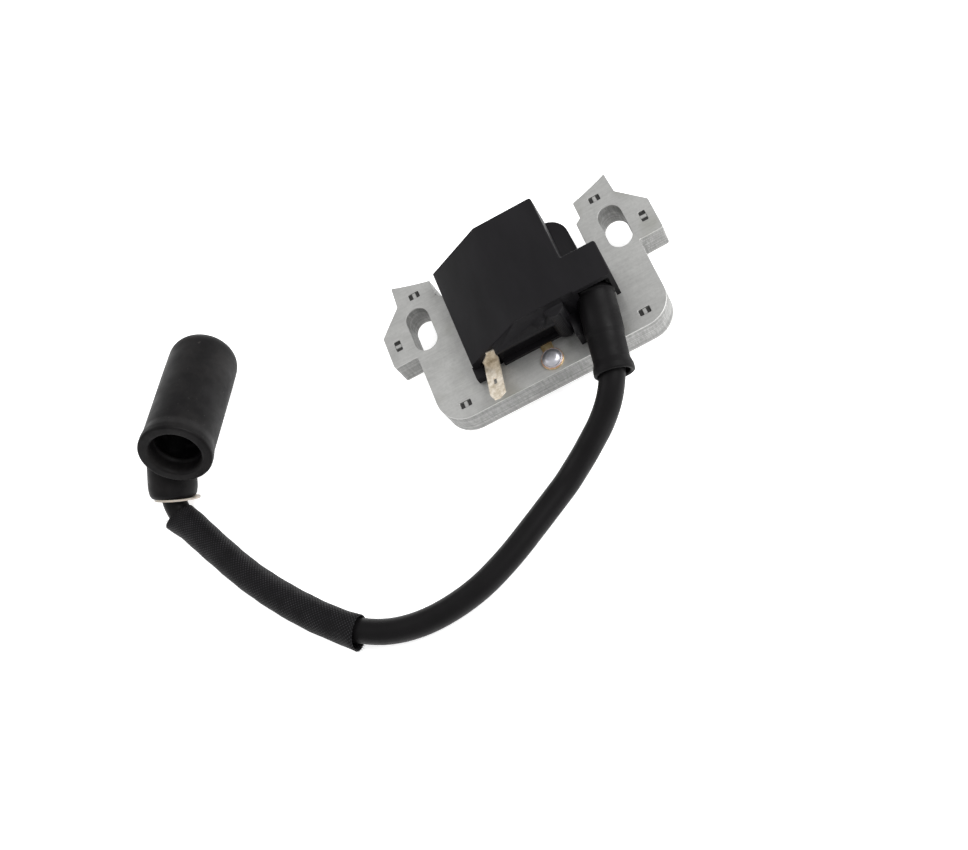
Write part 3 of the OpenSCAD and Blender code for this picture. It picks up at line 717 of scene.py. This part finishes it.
class COIL_OT_terminals(bpy.types.Operator):
    """Builds the stop tab, the earth strap and its rivet"""
    bl_idname = "coil.terminals"
    bl_label = "Terminals"

    def execute(self, context):
        tab = softened("kill_terminal", "stop_tab", 0.12, lambda p, along: 1.0)
        show("stop_tab", tab, tinned_strip(), "tinned_steel", "kill_terminal")
        strap = softened("ground_strap", "earth_strap", 0.08, lambda p, along: 1.0, segments=2)
        show("earth_strap", strap, pressed_brass(), "strap_brass", "ground_strap")
        head = rounded([
            (0, BACK - 0.9, 0), (2.4, BACK - 0.9, 0.4), (2.75, BACK - 0.05, 0.1), (1.58, BACK - 0.05, 0.05),
            (1.58, FRONT + 0.42, 0.05), (3.1, FRONT + 0.42, 0.12), (3.0, FRONT + 0.85, 0.25),
            (2.6, FRONT + 0.72, 0.15), (2.5, FRONT + 1.2, 0.3), (1.7, FRONT + 1.85, 1.4), (0, FRONT + 2, 0),
        ], closed=False)
        bm = turned(head)
        bm.transform(Matrix.Translation((RIVET.x * MM, RIVET.y * MM, 0)))
        show("earth_rivet", finished(bm, "earth_rivet"), zinc_plate(), "rivet_zinc", "ground_rivet")
        return {"FINISHED"}


# ---------- lead ----------

class COIL_OT_lead(bpy.types.Operator):
    """Lays the high-voltage lead along its route"""
    bl_idname = "coil.lead"
    bl_label = "High-voltage lead"

    def execute(self, context):
        sizes, colours = context.scene.coil_sizes, context.scene.coil_colours
        route = smooth_path(LEAD_ROUTE, 4)
        curve = bpy.data.curves.new("high_voltage_lead", "CURVE")
        curve.dimensions = "3D"
        curve.bevel_depth = sizes.lead / 2 * MM
        curve.bevel_resolution = 6
        curve.use_fill_caps = True
        spline = curve.splines.new("POLY")
        spline.points.add(len(route) - 1)
        for point, place in zip(spline.points, route):
            point.co = (*(place * MM), 1)
        spline.use_smooth = True
        lead = bpy.data.objects.new("high_voltage_lead", curve)
        context.scene.collection.objects.link(lead)
        curve.materials.append(extruded_jacket(tuple(colours.rubber)))
        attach(lead, "root")
        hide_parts("ignition_lead")
        return {"FINISHED"}


def sleeve_rings(route, around):
    """Rings of the sleeve's outer skin, with each point's place along and round it in mm."""
    rings = []
    travelled = 0.0
    count = len(route)
    for i, centre in enumerate(route):
        if i:
            travelled += (centre - route[i - 1]).length
        along = (route[min(i + 1, count - 1)] - route[max(i - 1, 0)]).normalized()
        side = along.cross(Vector((0, 0, 1))).normalized()
        up = side.cross(along)
        rings.append((centre, side, up, travelled))
    total = travelled
    out = []
    for centre, side, up, travelled in rings:
        near_end = max(0.0, 1 - travelled / 9) ** 2 + max(0.0, 1 - (total - travelled) / 7) ** 2
        centre = centre - 0.75 * near_end * side
        crease = radians(38 + 26 * sin(travelled / 21))
        ring = []
        for k in range(around):
            angle = 2 * pi * k / around
            fold = abs(cos(angle - crease)) ** 9
            ripple = 0.1 * sin(2 * angle + travelled / 9) + 0.05 * sin(travelled * 0.8 + 3 * angle)
            radius = SLEEVE_RADIUS + 0.3 * fold + ripple + 0.35 * near_end
            lift = radius * sin(angle)
            if centre.z + lift * up.z < SLEEVE_CLEARANCE:
                lift = (SLEEVE_CLEARANCE - centre.z) / up.z
            ring.append((centre + radius * cos(angle) * side + lift * up, travelled, angle * BRAID_RADIUS))
        out.append(ring)
    return out


class COIL_OT_sleeve(bpy.types.Operator):
    """Weaves the protective sleeve over the lead, with its cut ends frayed"""
    bl_idname = "coil.sleeve"
    bl_label = "Woven sleeve"

    def execute(self, context):
        sizes, colours = context.scene.coil_sizes, context.scene.coil_colours
        steps, around = 6, 48
        fine = smooth_path(LEAD_ROUTE, steps)
        rings = sleeve_rings(fine[SLEEVE_START * steps:round(SLEEVE_END * steps) + 1], around)
        bm = bmesh.new()
        flat = bm.loops.layers.uv.new("braid_mm")
        verts = [[bm.verts.new(p * MM) for p, _, _ in ring] for ring in rings]
        for i in range(len(rings) - 1):
            for k in range(around):
                m = (k + 1) % around
                face = bm.faces.new((verts[i][k], verts[i][m], verts[i + 1][m], verts[i + 1][k]))
                ends = [(i, k, 0), (i, m, 1), (i + 1, m, 1), (i + 1, k, 0)]
                for loop, (row, col, wrap) in zip(face.loops, ends):
                    turn = rings[row][col][2] if not (wrap and m == 0) else 2 * pi * BRAID_RADIUS
                    loop[flat].uv = (rings[row][col][1], turn)
        bmesh.ops.recalc_face_normals(bm, faces=bm.faces)
        mesh = finished(bm, "sleeve", 60)
        mesh = evaluated(mesh, "sleeve", ("SOLIDIFY", {"thickness": 0.45 * MM, "offset": -1.0}))
        braid = braided_glass(tuple(colours.sleeve), sizes.thread)
        show("sleeve", mesh, braid, "sleeve_fabric", "woven_sleeve")
        threads = moulded_rubber(tuple(colours.sleeve), "Loose glass threads")
        show("sleeve_fray", self.fray(rings), threads, "sleeve_fabric", "woven_sleeve")
        return {"FINISHED"}

    def fray(self, rings):
        """Short loose threads at both cut ends."""
        rng = random.Random(11)
        bm = bmesh.new()
        for ring, inner in ((rings[0], rings[1]), (rings[-1], rings[-2])):
            middle = sum((p for p, _, _ in ring), Vector()) / len(ring)
            for k in range(len(ring)):
                p = ring[k][0]
                outwards = (p - inner[k][0]).normalized()
                away = (p - middle).normalized()
                length = rng.uniform(0.2, 0.9)
                bend = away * rng.uniform(-0.3, 0.35) + Vector([rng.uniform(-0.3, 0.3) for _ in range(3)])
                tip = p + (outwards + bend).normalized() * length
                tip.z = max(tip.z, 0.2)
                across = outwards.cross(away).normalized() * 0.09
                verts = [bm.verts.new(v * MM) for v in (p - across - 0.1 * away, p + across - 0.1 * away,
                                                        tip + 0.4 * across, tip - 0.4 * across)]
                bm.faces.new(verts)
        bmesh.ops.solidify(bm, geom=bm.faces[:], thickness=0.12 * MM)
        return finished(bm, "sleeve_fray")


class COIL_OT_boot(bpy.types.Operator):
    """Turns the rubber boot over the lead tower"""
    bl_idname = "coil.boot"
    bl_label = "Lead boot"

    def execute(self, context):
        # Starts in the bore, goes round the upper rim and down the outside to the flared lower rim
        profile = rounded([
            (3.55, 8.2, 0), (3.55, 0.1, 0.1), (5.3, 0.1, 0.35), (5.42, 1.3, 0.35), (5.08, 1.7, 0.2),
            (5.18, 6.5, 2), (5.2, 12.3, 0.9), (4.9, 13.5, 0.7), (4.8, 20.0, 2.0), (5.35, 21.8, 0.9),
            (5.4, 23.4, 0.6), (4.8, 23.65, 0.35), (4.15, 23.3, 0.3), (3.6, 17.5, 0.2), (3.55, 8.2, 0),
        ], closed=False)
        bm = turned(profile, 96)
        bm.transform(aimed(BOOT_TOP, BOOT_AIM))
        rubber = moulded_rubber(tuple(context.scene.coil_colours.rubber))
        show("boot", finished(bm, "boot", 50), rubber, "boot_rubber", "lead_boot")
        return {"FINISHED"}


# ---------- plug cap ----------

class COIL_OT_plug_cap(bpy.types.Operator):
    """Moulds the angled rubber plug cap and dresses the pieces inside it"""
    bl_idname = "coil.plug_cap"
    bl_label = "Plug cap"

    def execute(self, context):
        # From the closed end to the mouth, then up the ribbed bore and the clip's pocket
        body = rounded([
            (0, 43.5, 0), (10.2, 43.5, 7.4), (10.25, 30, 8),
            (10.15, 5, 4), (10.5, 2.4, 1.2), (10.5, 0.1, 0.5),
            (7.6, 0.1, 0.45), (7.15, 1.2, 0.5), (7.3, 4.2, 0.4), (6.5, 5.2, 0.5), (7.3, 6.4, 0.4),
            (7.3, 10.2, 0.4), (6.3, 11.4, 0.5), (7.2, 12.8, 0.4), (7.2, 22.8, 0.6), (4.25, 23.2, 0.4),
            (4.25, 33.9, 0.3), (0, 33.9, 0),
        ], closed=False, steps=7)
        bm = turned(body, 96)
        bm.transform(aimed(CAP_MOUTH, CAP_AIM))
        shapes = [finished(bm, "cap_body")]
        along = (NECK_KNEE - NECK_END).normalized()
        length = (NECK_KNEE - NECK_END).length
        # The neck holds the bushing at its end; the arm joins it to the body above the knee
        neck = rounded([
            (0, length + 3, 0), (6.9, length + 3, 3.2), (7.1, 3.4, 4), (6.75, 1.2, 1.2), (6.0, 0.1, 0.7),
            (5.65, 0.1, 0.1), (5.65, 2.0, 0.2), (3.9, 2.0, 0.2), (3.9, length, 0), (0, length, 0),
        ], closed=False)
        bm = turned(neck, 72)
        bm.transform(aimed(NECK_END, along))
        shapes.append(finished(bm, "cap_neck"))
        reach = (NECK_JOIN - NECK_KNEE).length
        arm = rounded([(0, -3, 0), (6.7, -3, 3.2), (6.8, 0, 0), (6.8, reach, 0.5), (0, reach - 6.5, 0)],
                      closed=False)
        bm = turned(arm, 72)
        bm.transform(aimed(NECK_KNEE, (NECK_JOIN - NECK_KNEE).normalized()))
        shapes.append(finished(bm, "cap_arm"))
        mesh = evaluated(
            joined("cap", shapes), "cap",
            ("REMESH", {"mode": "VOXEL", "voxel_size": 0.3 * MM, "use_smooth_shade": True}),
            ("SMOOTH", {"factor": 0.5, "iterations": 6}),
        )
        rubber = moulded_rubber(tuple(context.scene.coil_colours.rubber), "Dusty moulded rubber", dust=0.3)
        show("cap", mesh, rubber, "cap_rubber", "plug_cap")
        dress("cap_bushing", cream_nylon("Cream nylon", aged=True))
        dress("cap_link", pressed_brass())
        dress("plug_clip", tinned_strip())
        return {"FINISHED"}


class COIL_OT_cord(bpy.types.Operator):
    bl_idname = "coil.cord"
    bl_label = "Cord"

    def execute(self, context):
        carried = [bpy.data.objects[name] for name in ("sleeve", "sleeve_fray", "cap")]
        carried += [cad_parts[name] for name in ("cap_bushing", "cap_link", "plug_clip")]
        return {"FINISHED"}


class COIL_OT_inside(bpy.types.Operator):
    """Dresses the windings, the board and the contact pin inside the housing"""
    bl_idname = "coil.inside"
    bl_label = "Windings and board"

    def execute(self, context):
        bobbin, copper, chip = cream_nylon(), enamelled_copper(), moulded_epoxy()
        for node, material in {
            "primary_bobbin": bobbin, "secondary_bobbin": bobbin,
            "primary_winding": copper, "secondary_winding": copper,
            "primary_leads": copper, "secondary_lead": copper,
            "circuit_board": solder_mask(), "switching_transistor": chip, "trigger_chip": chip,
            "board_resistors": chip, "board_capacitors": fired_ceramic(), "lead_contact_pin": pressed_brass(),
        }.items():
            dress(node, material)
        return {"FINISHED"}


# ---------- stage ----------

class COIL_OT_stage(bpy.types.Operator):
    """Sets the paper floor, the soft lights and the camera"""
    bl_idname = "coil.stage"
    bl_label = "Stage"

    def execute(self, context):
        scene = context.scene
        scene.view_settings.view_transform = "Standard"
        world = bpy.data.worlds.new("Soft white studio")
        world.use_nodes = True
        world.node_tree.nodes["Background"].inputs[0].default_value = (1, 1, 1, 1)
        world.node_tree.nodes["Background"].inputs[1].default_value = 0.8
        scene.world = world

        bm = bmesh.new()
        bmesh.ops.create_grid(bm, x_segments=12, y_segments=12, size=1.5)
        floor = bpy.data.objects.new("floor", finished(bm, "floor"))
        floor.location.z = -0.2 * MM
        floor.data.materials.append(studio_paper())
        scene.collection.objects.link(floor)

        self.lamp("key", (0.42, -0.05, 0.5), 0.35, 4.0)
        self.lamp("fill", (-0.5, 0.2, 0.5), 0.5, 0.8)

        camera = bpy.data.cameras.new("camera")
        camera.lens = 47.313
        camera.sensor_width = 36
        camera.clip_start = 0.01
        holder = bpy.data.objects.new("camera", camera)
        holder.location = Vector((25.47, -175.77, 308.97)) * MM
        holder.rotation_euler = Euler((radians(21.704), radians(19.183), radians(-21.524)), "XYZ")
        scene.collection.objects.link(holder)
        scene.camera = holder
        return {"FINISHED"}

    def lamp(self, name, place, size, power):
        """Square soft box that faces the object."""
        light = bpy.data.lights.new(name, "AREA")
        light.size = size
        light.energy = power
        holder = bpy.data.objects.new(name, light)
        holder.location = place
        aim = Vector((-0.03, 0, 0)) - Vector(place)
        holder.rotation_euler = aim.to_track_quat("-Z", "Y").to_euler()
        bpy.context.scene.collection.objects.link(holder)


class COIL_PT_panel(bpy.types.Panel):
    """Lists the coil's pieces and settings"""
    bl_idname = "COIL_PT_panel"
    bl_label = "Ignition Coil"
    bl_space_type = "VIEW_3D"
    bl_region_type = "UI"
    bl_category = "Coil"

    def draw(self, context):
        for operator in BUILD_ORDER:
            self.layout.operator(operator.bl_idname)
        for group in (context.scene.coil_sizes, context.scene.coil_colours):
            for name in group.__annotations__:
                self.layout.prop(group, name)


BUILD_ORDER = (
    COIL_OT_stage, COIL_OT_lead, COIL_OT_sleeve, COIL_OT_core, COIL_OT_housing, COIL_OT_terminals,
    COIL_OT_boot, COIL_OT_plug_cap, COIL_OT_cord, COIL_OT_inside,
)
CLASSES = (CoilSizes, CoilColours, *BUILD_ORDER, COIL_PT_panel)


def register():
    for cls in CLASSES:
        bpy.utils.register_class(cls)
    bpy.types.Scene.coil_sizes = bpy.props.PointerProperty(type=CoilSizes)
    bpy.types.Scene.coil_colours = bpy.props.PointerProperty(type=CoilColours)


def unregister():
    del bpy.types.Scene.coil_sizes
    del bpy.types.Scene.coil_colours
    for cls in reversed(CLASSES):
        bpy.utils.unregister_class(cls)


def main():
    """Builds the whole scene."""
    register()
    for operator in BUILD_ORDER:
        group, name = operator.bl_idname.split(".")
        getattr(getattr(bpy.ops, group), name)()


if __name__ == "__main__":
    main()
